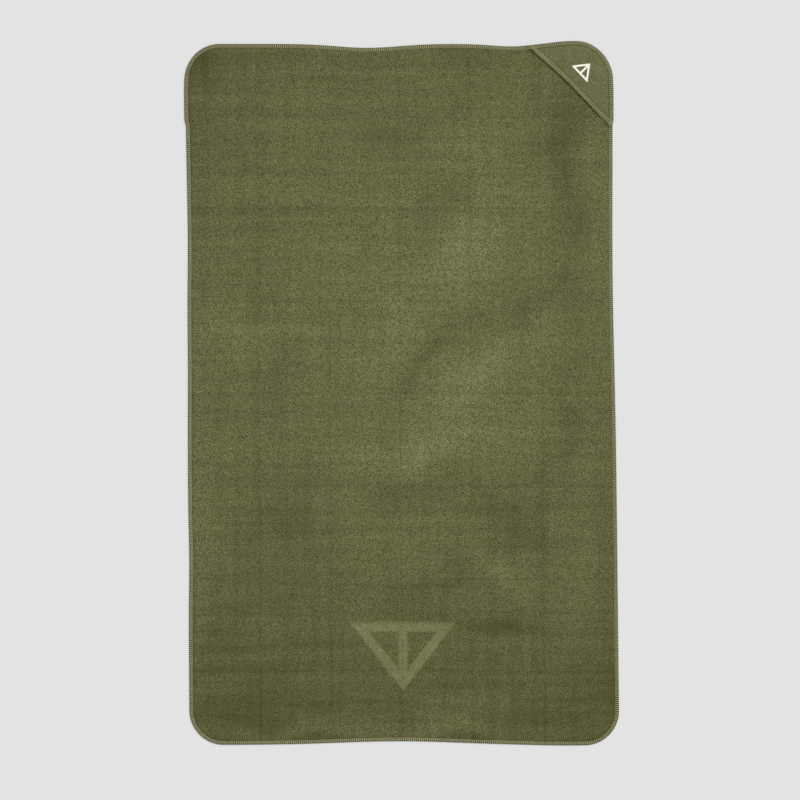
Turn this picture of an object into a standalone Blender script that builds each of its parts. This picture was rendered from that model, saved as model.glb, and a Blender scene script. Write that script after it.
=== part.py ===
"""Camp towel: a round-cornered sheet of suede microfibre, overlocked all round, with two corner pockets.

X runs across the width, Y along the length and Z up. The towel lies spread out, face up, with its near edge
toward -Y. The origin is the centre of the underside. One pocket is on the face at the +X +Y corner, and the
other is on the back at the -X +Y corner. The far half folds over the near half about the middle crease.

The sheet and its edge threads are each cut at that crease into a near and a far half. Sizes are in metres.
Near a rim, a place is given by its distances from the side edge and from the end edge of its corner.
"""
import math

import bmesh
import bpy

MM = 0.001
ROOT_TWO = math.sqrt(2)

# Sheet
WIDTH = 610 * MM
LENGTH = 1000 * MM
CORNER_RADIUS = 49 * MM
CORNER_STEPS = 10
CLOTH = 1.8 * MM  # full height of the pile, both faces
CREASE_GAP = 0.3 * MM  # between the near and the far half

# Overlock round the edge
BAND = 6.0 * MM  # from the rim to the inner side of the looper threads
THREAD = 0.35 * MM  # height of one layer of thread
NEEDLE_WIDTH = 0.8 * MM
SEAM_GAP = 0.15 * MM  # between thread and cloth, and between two threads
PRESS_MARGIN = 0.4 * MM  # pressed cloth that shows beside the needle thread
PRESS_RAMP = 1.5 * MM  # where the cloth rises from the seam to its full height

# Corner pockets
POCKET_LEG = 123 * MM  # from the corner to each end of the mouth, before rounding
PATCH = 0.9 * MM
PATCH_PRESSED = 0.25 * MM  # the same cloth, pressed in a seam
LAY_GAP = 0.3 * MM  # between a patch and the sheet
MOUTH_CLEARANCE = 0.5 * MM  # from the mouth to where the sheet starts to make room for the patch
MOUTH_RAMP = 4.0 * MM  # width of that slope in the sheet
HEM_BAND = 5.0 * MM
HEM_THREAD = 0.3 * MM
HEM_END_GAP = 0.3 * MM

# Emblems: a plain tent, pressed into the sheet and printed on the front pocket
EMBLEM_WIDTH = 150 * MM
EMBLEM_HEIGHT = 100 * MM
EMBLEM_STROKE = 13 * MM
EMBLEM_DEPTH = 0.35 * MM
EMBLEM_FROM_EDGE = 124 * MM  # centre of the emblem to the near edge
MARK_WIDTH = 32 * MM
MARK_HEIGHT = 22 * MM
MARK_STROKE = 2.8 * MM
MARK_FILM = 0.2 * MM

# Care label
LABEL_WIDTH = 45 * MM
LABEL_LENGTH = 25 * MM
LABEL_FROM_SIDE = 110 * MM  # centre of the label to the +X edge
LABEL_FROM_NEAR = 27 * MM  # centre of the label to the near edge
LABEL_TAPE = 0.25 * MM
LABEL_STITCH = 0.2 * MM
LABEL_STITCH_WIDTH = 0.6 * MM
LABEL_STITCH_INSET = 1.5 * MM
LABEL_RELIEF = 1.0 * MM  # clear cloth round the label

# Sizes that follow
NOSE = THREAD + SEAM_GAP
NEEDLE_FROM = BAND + SEAM_GAP
NEEDLE_TO = NEEDLE_FROM + NEEDLE_WIDTH
PRESSED_TO = NEEDLE_TO + PRESS_MARGIN
PILE_FROM = PRESSED_TO + PRESS_RAMP
SEAM_LOW = THREAD + SEAM_GAP
SEAM_HIGH = CLOTH - THREAD - SEAM_GAP
HEM_LOW = HEM_THREAD + SEAM_GAP
HEM_HIGH = HEM_LOW + PATCH_PRESSED
HEM_HEIGHT = HEM_HIGH + SEAM_GAP + HEM_THREAD
HEM_NEEDLE_FROM = HEM_BAND + SEAM_GAP
HEM_NEEDLE_TO = HEM_NEEDLE_FROM + NEEDLE_WIDTH
LIFT = HEM_HEIGHT + LAY_GAP  # how far the back pocket raises the sheet
POCKET_REACHES = (
    POCKET_LEG + (MOUTH_CLEARANCE + MOUTH_RAMP) * ROOT_TWO,
    POCKET_LEG + MOUTH_CLEARANCE * ROOT_TWO,
)
CORNER_TO_PILE = CORNER_RADIUS * ROOT_TWO - (CORNER_RADIUS - PILE_FROM)  # along the corner's diagonal
CORNER_TO_HEM = POCKET_LEG / ROOT_TWO - HEM_NEEDLE_TO
MARK_LOW = CLOTH + LAY_GAP + PATCH + SEAM_GAP
STACK_TOP = max(MARK_LOW + MARK_FILM, CLOTH + LIFT)
FOLD_HEIGHT = (STACK_TOP + CLOTH + LAY_GAP) / 2
LABEL_LOW = LABEL_STITCH + SEAM_GAP
LABEL_CEILING = LABEL_LOW + LABEL_TAPE + LAY_GAP


# Solids

def make_object(name, vertices, faces):
    """Object from vertices and faces, with its faces pointing out."""
    mesh = bpy.data.meshes.new(name)
    mesh.from_pydata(vertices, [], faces)
    work = bmesh.new()
    work.from_mesh(mesh)
    bmesh.ops.recalc_face_normals(work, faces=work.faces)
    work.to_mesh(mesh)
    work.free()
    item = bpy.data.objects.new(name, mesh)
    bpy.context.collection.objects.link(item)
    return item


def slab(name, points, faces):
    """Solid whose underside and top share one plan: points are (x, y, low, high), faces index them."""
    count = len(points)
    vertices = [(x, y, low) for x, y, low, high in points]
    vertices += [(x, y, high) for x, y, low, high in points]
    edges = {(a, b) for face in faces for a, b in zip(face, face[1:] + face[:1])}
    rim = sorted((a, b) for a, b in edges if (b, a) not in edges)
    bottom = [tuple(reversed(face)) for face in faces]
    top = [tuple(count + index for index in face) for face in faces]
    sides = [(a, b, count + b, count + a) for a, b in rim]
    return make_object(name, vertices, bottom + top + sides)


def sweep(name, row_at, profile):
    """Solid that carries a closed profile of (offset, height) along the plan points at each offset."""
    rows = [[(x, y, height) for x, y in row_at(offset)] for offset, height in profile]
    sides = len(rows)
    steps = len(rows[0])
    vertices = [point for row in rows for point in row]
    faces = [tuple(i * steps for i in range(sides))]
    faces.append(tuple(i * steps + steps - 1 for i in reversed(range(sides))))
    for i in range(sides):
        this_row = i * steps
        next_row = (i + 1) % sides * steps
        for j in range(steps - 1):
            faces.append((this_row + j, this_row + j + 1, next_row + j + 1, next_row + j))
    return make_object(name, vertices, faces)


def cut(item, cutter):
    """Takes a hidden cutter out of a solid."""
    cutter.hide_render = True
    cutter.display_type = "WIRE"
    boolean = item.modifiers.new(cutter.name, "BOOLEAN")
    boolean.operation = "DIFFERENCE"
    boolean.solver = "EXACT"
    boolean.object = cutter


def finish(item, name, colour, roughness):
    """Gives an object its own material."""
    material = bpy.data.materials.new(name)
    material.use_nodes = True
    shader = material.node_tree.nodes["Principled BSDF"]
    shader.inputs["Base Color"].default_value = (*colour, 1)
    shader.inputs["Roughness"].default_value = roughness
    shader.inputs["Metallic"].default_value = 0
    item.data.materials.append(material)


def cloth_finish(item):
    finish(item, item.name + "_suede", (0.144, 0.144, 0.065), 0.95)


def thread_finish(item):
    finish(item, item.name + "_polyester", (0.220, 0.205, 0.125), 0.75)


# Plans near the rim

def from_corner(side, end, across, along):
    """Plan point at a distance from the side edge and from the end edge of the corner (side, end)."""
    return side * (WIDTH / 2 - across), end * (LENGTH / 2 - along)


def corner_row(side, end, offset, reaches=()):
    """Points round a corner at an offset from the rim, counter-clockwise.

    A reach names a diagonal line across the corner: the two distances of its points add up to it. Reaches go
    from the largest to the smallest. Between them lies the arc of the rounded corner.
    """
    places = [(offset, reach - offset) for reach in reaches]
    for step in range(CORNER_STEPS + 1):
        angle = math.pi / 2 * step / CORNER_STEPS
        radius = CORNER_RADIUS - offset
        places.append((CORNER_RADIUS - radius * math.cos(angle), CORNER_RADIUS - radius * math.sin(angle)))
    places += [(reach - offset, offset) for reach in reversed(reaches)]
    if side * end < 0:
        places.reverse()
    return [from_corner(side, end, across, along) for across, along in places]


def half_row(end, offset, reaches=()):
    """Points of one half's rim at an offset, counter-clockwise from crease to crease."""
    crease = end * CREASE_GAP / 2
    row = [(end * (WIDTH / 2 - offset), crease)]
    row += corner_row(end, end, offset, reaches)
    row += corner_row(-end, end, offset, reaches)
    row.append((-end * (WIDTH / 2 - offset), crease))
    return row


# Sheet: pressed thin in the seam, at its full height inside it

def sheet_levels(place):
    """(offset, low, high) from the rim inward, at a place that is plain or at the front or back pocket."""
    low = SEAM_LOW
    high = SEAM_HIGH
    lift = 0.0
    if place == "front":
        high -= PATCH_PRESSED + SEAM_GAP
    if place == "back":
        low += PATCH_PRESSED + SEAM_GAP
        lift = LIFT
    return (NOSE, low, high), (PRESSED_TO, low, high), (PILE_FROM, lift, lift + CLOTH)


def sheet_plan(end, reaches, places):
    """Points and rim faces of one half. Rows follow each other, one for each level."""
    points = []
    for level in range(3):
        offset = sheet_levels("plain")[level][0]
        for (x, y), place in zip(half_row(end, offset, reaches), places, strict=True):
            _, low, high = sheet_levels(place)[level]
            points.append((x, y, low, high))
    steps = len(places)
    faces = []
    for row in (0, steps):
        for j in range(steps - 1):
            faces.append((row + j, row + j + 1, row + steps + j + 1, row + steps + j))
    return points, faces


def near_sheet():
    places = ["plain"] * (2 * CORNER_STEPS + 4)
    points, faces = sheet_plan(-1, (), places)
    faces.append(tuple(range(2 * len(places), 3 * len(places))))
    item = slab("sheet_near_half", points, faces)
    cloth_finish(item)
    return item


def far_sheet():
    """The sheet rises over the back pocket, on a slope along the pocket's mouth."""
    arc = CORNER_STEPS + 3
    places = ["plain", "plain", *["front"] * arc, "plain", "plain", *["back"] * arc, "plain", "plain"]
    points, faces = sheet_plan(1, POCKET_REACHES, places)
    inner = 2 * len(places)
    raised_from = inner + places.index("back")
    raised_to = raised_from + arc - 1
    last = inner + len(places) - 1
    faces.append((*range(inner, raised_from), raised_to + 1, last))
    faces.append((raised_from - 1, raised_from, raised_to, raised_to + 1))
    faces.append(tuple(range(raised_from, raised_to + 1)))
    item = slab("sheet_far_half", points, faces)
    cloth_finish(item)
    return item


# Overlock round the edge: two looper threads that meet at the rim, and the needle thread inside them

def upper_looper_profile():
    meet = (CLOTH + SEAM_GAP) / 2
    under = CLOTH - THREAD
    return (0, meet), (THREAD, meet), (THREAD, under), (BAND, under), (BAND, CLOTH), (0, CLOTH)


def needle_profile():
    under = CLOTH - THREAD
    return (NEEDLE_FROM, under), (NEEDLE_TO, under), (NEEDLE_TO, CLOTH), (NEEDLE_FROM, CLOTH)


def edge_threads(half, end):
    def row_at(offset):
        return half_row(end, offset)

    upper = upper_looper_profile()
    lower = [(offset, CLOTH - height) for offset, height in upper]
    threads = [
        sweep(f"edge_needle_thread_{half}", row_at, needle_profile()),
        sweep(f"edge_upper_looper_{half}", row_at, upper),
        sweep(f"edge_lower_looper_{half}", row_at, lower),
    ]
    for item in threads:
        thread_finish(item)
    return threads


# Corner pockets: a patch caught in the edge seam on two sides, with an overlocked mouth across the corner

def patch_levels(on_back):
    """(offset, low, high) of a patch from the rim inward."""
    seam = (SEAM_HIGH - PATCH_PRESSED, SEAM_HIGH)
    body = (CLOTH + LAY_GAP, CLOTH + LAY_GAP + PATCH)
    if on_back:
        seam = (SEAM_LOW, SEAM_LOW + PATCH_PRESSED)
        body = (HEM_HEIGHT - PATCH, HEM_HEIGHT)
    return (NOSE, *seam), (PRESSED_TO, *seam), (PILE_FROM, *body)


def hem_profiles():
    """Threads of a mouth and the room they need, as (offset from the mouth, height off the inner face)."""
    meet = (HEM_HEIGHT - SEAM_GAP) / 2
    top = HEM_HEIGHT - HEM_THREAD
    lower = [
        (0, 0), (HEM_BAND, 0), (HEM_BAND, HEM_THREAD),
        (HEM_THREAD, HEM_THREAD), (HEM_THREAD, meet), (0, meet),
    ]
    upper = [(offset, HEM_HEIGHT - height) for offset, height in lower]
    needle = [
        (HEM_NEEDLE_FROM, top), (HEM_NEEDLE_TO, top),
        (HEM_NEEDLE_TO, HEM_HEIGHT), (HEM_NEEDLE_FROM, HEM_HEIGHT),
    ]
    outside = -1 * MM
    above = HEM_HEIGHT + 1 * MM
    inner_to = HEM_BAND + SEAM_GAP
    outer_to = HEM_NEEDLE_TO + SEAM_GAP
    tongue_from = HEM_THREAD + SEAM_GAP
    room = [
        (outside, outside), (inner_to, outside), (inner_to, HEM_LOW), (tongue_from, HEM_LOW),
        (tongue_from, HEM_HIGH), (outer_to, HEM_HIGH), (outer_to, above), (outside, above),
    ]
    return {"needle_thread": needle, "upper_looper": upper, "lower_looper": lower}, room


def mouth_row(side, stop):
    """Row function along a mouth, which ends at the distance stop from each rim."""
    def row_at(offset):
        reach = POCKET_LEG - offset * ROOT_TWO
        return [from_corner(side, 1, stop, reach - stop), from_corner(side, 1, reach - stop, stop)]

    return row_at


def pocket(name, side, on_back):
    """Patch and mouth threads of one pocket, at the far corner on the given side."""
    def place(profile):
        if on_back:
            return [(offset, HEM_HEIGHT - height) for offset, height in profile]
        return [(offset, CLOTH + LAY_GAP + height) for offset, height in profile]

    levels = patch_levels(on_back)
    rows = [corner_row(side, 1, offset, (POCKET_LEG,)) for offset, _, _ in levels]
    points = [(x, y, low, high) for row, (_, low, high) in zip(rows, levels, strict=True) for x, y in row]
    steps = len(rows[0])
    faces = [tuple(range(2 * steps, 3 * steps))]
    for row in (0, steps):
        for j in range(steps - 1):
            faces.append((row + j, row + j + 1, row + steps + j + 1, row + steps + j))
    patch = slab(f"{name}_patch", points, faces)
    cloth_finish(patch)

    threads, room = hem_profiles()
    stop = PILE_FROM + HEM_END_GAP
    cut(patch, sweep(f"{name}_hem_room", mouth_row(side, stop - SEAM_GAP), place(room)))
    pieces = [patch]
    for thread, profile in threads.items():
        item = sweep(f"{name}_mouth_{thread}", mouth_row(side, stop), place(profile))
        thread_finish(item)
        pieces.append(item)
    return pieces


# Emblems

def tent_plan(width, height, stroke):
    """Plan of a tent in even strokes: a triangle with a pole in its middle, centred on half its height."""
    half = width / 2
    slope = math.hypot(height, half)
    foot = half - stroke * (slope + half) / height
    peak = (height * (half - stroke / 2) - stroke * slope) / half
    pole = stroke / 2
    plan = [
        (-half, 0), (half, 0), (0, height),
        (-foot, stroke), (-pole, stroke), (-pole, peak),
        (foot, stroke), (pole, stroke), (pole, peak),
    ]
    faces = [(0, 1, 6, 7, 4, 3), (0, 3, 5, 2), (1, 2, 8, 6), (4, 7, 8, 2, 5)]
    return [(x, y - height / 2) for x, y in plan], faces


def tent(name, size, centre, turn, low, high):
    """Solid tent of the given (width, height, stroke), turned about its centre."""
    plan, faces = tent_plan(*size)
    cos = math.cos(turn)
    sin = math.sin(turn)
    points = []
    for x, y in plan:
        points.append((centre[0] + x * cos - y * sin, centre[1] + x * sin + y * cos, low, high))
    return slab(name, points, faces)


def press_emblem(sheet):
    """The emblem is read from beyond the near edge, so its peak points that way."""
    size = (EMBLEM_WIDTH, EMBLEM_HEIGHT, EMBLEM_STROKE)
    centre = (0, -LENGTH / 2 + EMBLEM_FROM_EDGE)
    cut(sheet, tent("emblem_press", size, centre, math.pi, CLOTH - EMBLEM_DEPTH, CLOTH + 1 * MM))


def pocket_mark():
    """It is midway between the mouth's thread and the rounded seam, and its peak points into the corner."""
    size = (MARK_WIDTH, MARK_HEIGHT, MARK_STROKE)
    from_edges = (CORNER_TO_PILE + CORNER_TO_HEM) / 2 / ROOT_TWO
    centre = from_corner(1, 1, from_edges, from_edges)
    item = tent("front_pocket_mark", size, centre, -math.pi / 4, MARK_LOW, MARK_LOW + MARK_FILM)
    finish(item, "front_pocket_mark_film", (0.80, 0.80, 0.74), 0.55)
    return item


# Care label, sewn flat into the pile on the back

def rectangle(width, length, centre, low, high):
    corners = ((-1, -1), (1, -1), (1, 1), (-1, 1))
    return [(centre[0] + a * width / 2, centre[1] + b * length / 2, low, high) for a, b in corners]


def care_label(sheet):
    centre = (WIDTH / 2 - LABEL_FROM_SIDE, -LENGTH / 2 + LABEL_FROM_NEAR)
    relief = 2 * LABEL_RELIEF
    room = rectangle(LABEL_WIDTH + relief, LABEL_LENGTH + relief, centre, -1 * MM, LABEL_CEILING)
    cut(sheet, slab("label_room", room, [(0, 1, 2, 3)]))

    tape = rectangle(LABEL_WIDTH, LABEL_LENGTH, centre, LABEL_LOW, LABEL_LOW + LABEL_TAPE)
    label = slab("care_label", tape, [(0, 1, 2, 3)])
    finish(label, "care_label_satin", (0.75, 0.75, 0.72), 0.45)

    outer = 2 * LABEL_STITCH_INSET
    inner = outer + 2 * LABEL_STITCH_WIDTH
    loop = rectangle(LABEL_WIDTH - outer, LABEL_LENGTH - outer, centre, 0, LABEL_STITCH)
    loop += rectangle(LABEL_WIDTH - inner, LABEL_LENGTH - inner, centre, 0, LABEL_STITCH)
    faces = [(i, (i + 1) % 4, (i + 1) % 4 + 4, i + 4) for i in range(4)]
    stitching = slab("care_label_stitching", loop, faces)
    thread_finish(stitching)


# The towel

for old in list(bpy.data.objects):
    bpy.data.objects.remove(old)

near = near_sheet()
press_emblem(near)
care_label(near)
edge_threads("near_half", -1)

fold = bpy.data.objects.new("fold_axis", None)
bpy.context.collection.objects.link(fold)
fold.location = (0, 0, FOLD_HEIGHT)

far_pieces = [far_sheet(), *edge_threads("far_half", 1)]
far_pieces += pocket("front_pocket", 1, on_back=False)
far_pieces += pocket("back_pocket", -1, on_back=True)
far_pieces.append(pocket_mark())
for piece in far_pieces:
    piece.parent = fold
    piece.location.z = -FOLD_HEIGHT
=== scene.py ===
"""Camp towel of olive suede microfibre, laid flat on a pale floor, face up.

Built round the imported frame: X runs across the width, Y along the length and Z up, in metres, with the near
edge toward -Y. Every piece is worked out as if the towel lay perfectly flat and square, and is then laid down
with the small skew and ripples of real cloth. The far half folds over the near half about the middle crease.
"""
import math

import bpy
import numpy as np
from mathutils.geometry import tessellate_polygon
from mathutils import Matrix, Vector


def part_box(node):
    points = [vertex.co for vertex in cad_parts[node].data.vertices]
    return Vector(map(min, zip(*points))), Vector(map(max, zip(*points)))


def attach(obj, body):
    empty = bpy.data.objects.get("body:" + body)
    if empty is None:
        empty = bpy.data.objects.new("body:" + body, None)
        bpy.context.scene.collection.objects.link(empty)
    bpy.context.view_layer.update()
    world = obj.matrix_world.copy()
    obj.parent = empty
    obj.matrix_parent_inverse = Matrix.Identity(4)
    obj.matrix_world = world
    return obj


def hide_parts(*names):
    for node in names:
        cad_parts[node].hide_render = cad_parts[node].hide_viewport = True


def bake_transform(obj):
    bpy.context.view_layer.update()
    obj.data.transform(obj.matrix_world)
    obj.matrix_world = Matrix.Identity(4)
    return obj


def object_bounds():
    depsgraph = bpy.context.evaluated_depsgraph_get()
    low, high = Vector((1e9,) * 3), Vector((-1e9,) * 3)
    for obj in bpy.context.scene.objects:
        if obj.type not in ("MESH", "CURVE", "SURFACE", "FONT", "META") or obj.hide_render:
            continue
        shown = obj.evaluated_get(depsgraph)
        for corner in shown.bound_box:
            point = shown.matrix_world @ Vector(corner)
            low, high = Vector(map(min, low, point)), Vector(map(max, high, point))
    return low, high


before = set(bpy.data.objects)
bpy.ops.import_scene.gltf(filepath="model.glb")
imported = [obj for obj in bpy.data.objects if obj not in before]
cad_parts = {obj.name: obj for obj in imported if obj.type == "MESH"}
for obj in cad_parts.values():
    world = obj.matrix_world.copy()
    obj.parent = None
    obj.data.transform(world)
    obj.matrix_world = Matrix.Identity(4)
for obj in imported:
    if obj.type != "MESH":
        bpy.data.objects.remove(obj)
cad_low, cad_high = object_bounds()


# ------------------------------------------------------------------------------------
# Sheet: one piece of warp-knit suede microfibre with a short brushed nap on both faces, cut with rounded
# corners. It is pressed thin where the overlock holds its edge, and a plain tent is debossed near its end.
# It is one continuous cloth across the crease between the two bodies, and is attached to neither.
# ------------------------------------------------------------------------------------

MM = 0.001
ROOT_TWO = math.sqrt(2)
HALF_WIDTH = cad_high.x
HALF_LENGTH = cad_high.y
CORNER_RADIUS = 49 * MM
CORE_X, CORE_Y = HALF_WIDTH - CORNER_RADIUS, HALF_LENGTH - CORNER_RADIUS  # centre of a corner's arc
ARC = math.pi / 2 * CORNER_RADIUS
RIM_LENGTH = 4 * (CORE_X + CORE_Y + ARC)
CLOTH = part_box("sheet_near_half")[1].z  # full height of the pile, both faces
FOLD_REACH = 3.2 * MM  # the bend takes this much cloth on each side of the crease

SEAM_LOW, SEAM_HIGH = 0.5 * MM, 1.3 * MM  # pressed cloth between the lower and the upper threads
NEEDLE_LINE = 4.8 * MM
PRESSED_TO, PILE_FROM = 5.4 * MM, 8.4 * MM

POCKET_LEG = 121 * MM  # from the corner to each end of a pocket's mouth
PATCH_PRESSED, PATCH = 0.25 * MM, 0.9 * MM
SEAM_GAP, LAY_GAP = 0.15 * MM, 0.3 * MM
POCKET_RISE_TO = 32 * MM  # from the seam to here, a pocket's layers swell to their full height
UNDER_FRONT_SWELL, OVER_BACK_SWELL = 0.9 * MM, 0.55 * MM
LABEL_ROOM = 0.72 * MM  # the sheet's underside is lifted this much over the care label
NEEDLE_GROOVE = 0.5 * MM  # its half width
WAVE_HEIGHT = 0.2 * MM

TENT_SIZE = (150 * MM, 100 * MM, 13 * MM)  # width, height, stroke
TENT_CENTRE = (0, -HALF_LENGTH + 124 * MM)
TENT_DEPTH = 0.35 * MM

LABEL_CENTRE = (HALF_WIDTH - 110 * MM, -HALF_LENGTH + 27 * MM)
LABEL_SIZE = (45 * MM, 25 * MM)


def ease(start, end, value):
    """0 before start, 1 after end, and a smooth S between: t squared times (3 - 2t)."""
    t = np.clip((value - start) / (end - start), 0, 1)
    return t * t * (3 - 2 * t)


def bump_at(centre, width, value):
    """Bell of height 1: e to the minus ((value - centre) / width) squared."""
    return np.exp(-(((value - centre) / width) ** 2))


def mix(a, b, share):
    return a + (b - a) * share


def inset_of(x, y):
    """Distance inward from the rim of the rounded rectangle, taken to the corner's arc in the corners."""
    past_x, past_y = np.abs(x) - CORE_X, np.abs(y) - CORE_Y
    outside = np.hypot(np.maximum(past_x, 0), np.maximum(past_y, 0))
    inside = np.minimum(np.maximum(past_x, past_y), 0)
    return CORNER_RADIUS - outside - inside


def mouth_inset(x, y, side):
    """Distance from a pocket's mouth toward its corner. Side is 1 for the front pocket, -1 for the back."""
    return (POCKET_LEG - (HALF_WIDTH - side * x) - (HALF_LENGTH - y)) / ROOT_TWO


def rim_point(s, inset):
    """Plan point at length s along the rim, counter-clockwise from the middle of the +X side, in by inset.

    A centre runs along the rectangle of the four corner centres and waits at each while the heading turns by
    a quarter, and the point is a corner radius less the inset away from it along the heading.
    """
    runs = [CORE_Y, ARC, 2 * CORE_X, ARC, 2 * CORE_Y, ARC, 2 * CORE_X, ARC, CORE_Y]
    stops = np.concatenate([[0], np.cumsum(runs)])
    s = np.mod(s, stops[-1])
    centre_x = np.interp(s, stops, CORE_X * np.array([1, 1, 1, -1, -1, -1, -1, 1, 1, 1]))
    centre_y = np.interp(s, stops, CORE_Y * np.array([0, 1, 1, 1, 1, -1, -1, -1, -1, 0]))
    heading = np.interp(s, stops, math.pi / 2 * np.array([0, 0, 1, 1, 2, 2, 3, 3, 4, 4]))
    reach = CORNER_RADIUS - inset
    return centre_x + reach * np.cos(heading), centre_y + reach * np.sin(heading)


def laid(x, y, z):
    """Where a point of the flat, square towel comes to lie on the floor.

    The cloth is a little out of square, so X shifts with Y. It is narrowest a third of the way down. Its ends
    draw in where they ripple. Above the back pocket's mouth the left edge stands out, because the doubled
    cloth there doesn't draw in.
    """
    across, along = x / HALF_WIDTH, y / HALF_LENGTH
    left, right = ease(-0.5, -1, across), ease(0.5, 1, across)
    shift_x = -3.3 * MM * along + 0.6 * MM
    shift_x -= 2.6 * MM * across * bump_at(170 * MM, 170 * MM, y)
    shift_x += left * (1.2 * MM * bump_at(-235 * MM, 60 * MM, y) - 1.3 * MM * bump_at(125 * MM, 70 * MM, y))
    shift_x += right * (0.3 * MM - 1.9 * MM * along)
    step = ease(384 * MM, 389 * MM, y) * (1 - ease(430 * MM, 480 * MM, y))
    shift_x -= 2.2 * MM * step * ease(-0.86, -1, across)
    shift_x += 1.6 * MM * step * ease(0.9, 1, across)
    shift_x += 1.2 * MM * np.sin(9 * y + 1) * across * (1 - np.abs(across)) * 2
    far_end = ease(0.55, 1, along)
    near_end = ease(0.55, 1, -along)
    far_dip = 5.6 * MM * bump_at(-45 * MM, 62 * MM, x) + 3.6 * MM * bump_at(160 * MM, 40 * MM, x)
    far_dip += 1.2 * MM - 4.2 * MM * bump_at(250 * MM, 42 * MM, x)
    near_dip = 5.2 * MM * bump_at(-6 * MM, 122 * MM, x) - 0.9 * MM * bump_at(225 * MM, 60 * MM, x)
    shift_y = near_end * near_dip - far_end * far_dip
    return np.stack([x + shift_x, y + shift_y, z + 0 * x], axis=-1)


def tent_mark(u, v, width, height, stroke):
    """Signed distance to a tent drawn in even strokes, negative on them: a triangle with a pole in it.

    u runs across from the pole and v up from the middle of the height. The strokes are the triangle less the
    same triangle drawn a stroke smaller, which the pole divides.
    """
    half = width / 2
    slope = math.hypot(half, height)
    foot = v + height / 2
    from_sides = ((np.abs(u) - half) * height + foot * half) / slope
    outline = np.maximum(-foot, from_sides)
    opening = np.maximum(np.maximum(stroke - foot, from_sides + stroke), stroke / 2 - np.abs(u))
    return np.maximum(outline, -opening)


def emblem_press(x, y):
    """1 where the tent is pressed in and 0 outside it, with soft edges. Its peak points to the near edge."""
    distance = tent_mark(TENT_CENTRE[0] - x, TENT_CENTRE[1] - y, *TENT_SIZE)
    return 1 - ease(-1.4 * MM, 1.4 * MM, distance)


def sheet_levels(x, y):
    """Underside and top of the sheet at plan points.

    In the edge seam it is pressed to a thin band, with a groove under the needle thread. Inside the seam it
    rises to its full pile. Under the front pocket it is pressed down, and over the back pocket lifted, both
    more at full swell than near the seam. The middle of the cloth lies in faint waves.
    """
    inset = inset_of(x, y)
    pile = ease(PRESSED_TO, PILE_FROM, inset)
    swell = ease(PRESSED_TO, POCKET_RISE_TO, inset)
    low = mix(SEAM_LOW, 0, pile)
    high = mix(SEAM_HIGH, CLOTH, pile) - 0.25 * MM * bump_at(NEEDLE_LINE, NEEDLE_GROOVE, inset)
    front = ease(-0.5 * MM, 3 * MM, mouth_inset(x, y, 1))
    high = mix(high, SEAM_HIGH - PATCH_PRESSED - SEAM_GAP + UNDER_FRONT_SWELL * swell, front)
    back = ease(-24 * MM, -0.5 * MM, mouth_inset(x, y, -1))
    back_low = SEAM_LOW + PATCH_PRESSED + SEAM_GAP + OVER_BACK_SWELL * swell
    low = mix(low, back_low, back)
    body = ease(PRESSED_TO, 2 * PRESSED_TO, inset)
    seam_thick = SEAM_HIGH - SEAM_LOW - PATCH_PRESSED - SEAM_GAP
    high = mix(high, back_low + mix(seam_thick, CLOTH, body), back)
    inner = ease(12 * MM, 60 * MM, inset) * (1 - ease(300 * MM, 370 * MM, np.abs(y)))
    inner = inner * (1 - 0.5 * bump_at(0, 20 * MM, y))
    wave = np.sin(31 * x + 17 * y) * np.sin(14 * y - 9 * x + 0.7) + np.sin(23 * x - 29 * y + 2)
    lift = WAVE_HEIGHT * inner * (wave + 2)
    label = 1 - ease(0, 6 * MM, np.maximum(
        np.abs(x - LABEL_CENTRE[0]) - LABEL_SIZE[0] / 2 - 5 * MM,
        np.abs(y - LABEL_CENTRE[1]) - LABEL_SIZE[1] / 2 - 5 * MM,
    ))
    low = np.maximum(low, LABEL_ROOM * label)
    high = high - TENT_DEPTH * emblem_press(x, y)
    return low + lift, high + lift


# Patches of painted sheen and shade of the nap; the last column is how much lighter the painted sheen makes
# the cloth, negative for painted shade
SHEEN_PATCHES = [  # middle in X and Y, half length and half width (mm), turn (degrees), how much lighter the nap is
    (98, 200, 75, 40, 52, 0.16), (112, 20, 88, 32, 48, 0.18), (30, -80, 98, 22, 9, 0.20),
    (-4, 108, 60, 20, 84, 0.12), (120, 362, 66, 36, 70, 0.10), (85, -450, 75, 16, 4, 0.10),
    (-284, -240, 200, 34, 90, 0.14), (-250, 88, 66, 30, -8, 0.10), (286, 290, 90, 16, 90, 0.11),
    (252, -300, 66, 30, 80, 0.09), (138, -252, 56, 16, -28, 0.14), (0, -484, 330, 15, 0, 0.20),
    (238, 330, 150, 21, 91, -0.16), (-22, 372, 60, 24, 10, -0.10), (150, 118, 112, 19, 26, -0.15),
    (32, 48, 60, 15, 62, -0.15), (62, 275, 52, 21, 42, -0.12), (-168, -168, 66, 46, 85, -0.14),
    (24, -138, 60, 23, -4, -0.16), (162, -175, 50, 42, -20, -0.18), (40, -276, 70, 28, 6, -0.11),
    (140, -330, 55, 11, 5, -0.17), (-160, 30, 30, 50, 0, -0.09), (-285, 470, 26, 26, 0, -0.12),
    (237, -28, 66, 16, 88, -0.12), (208, -96, 34, 15, 35, -0.11), (60, -318, 40, 20, 0, -0.08),
]


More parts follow.
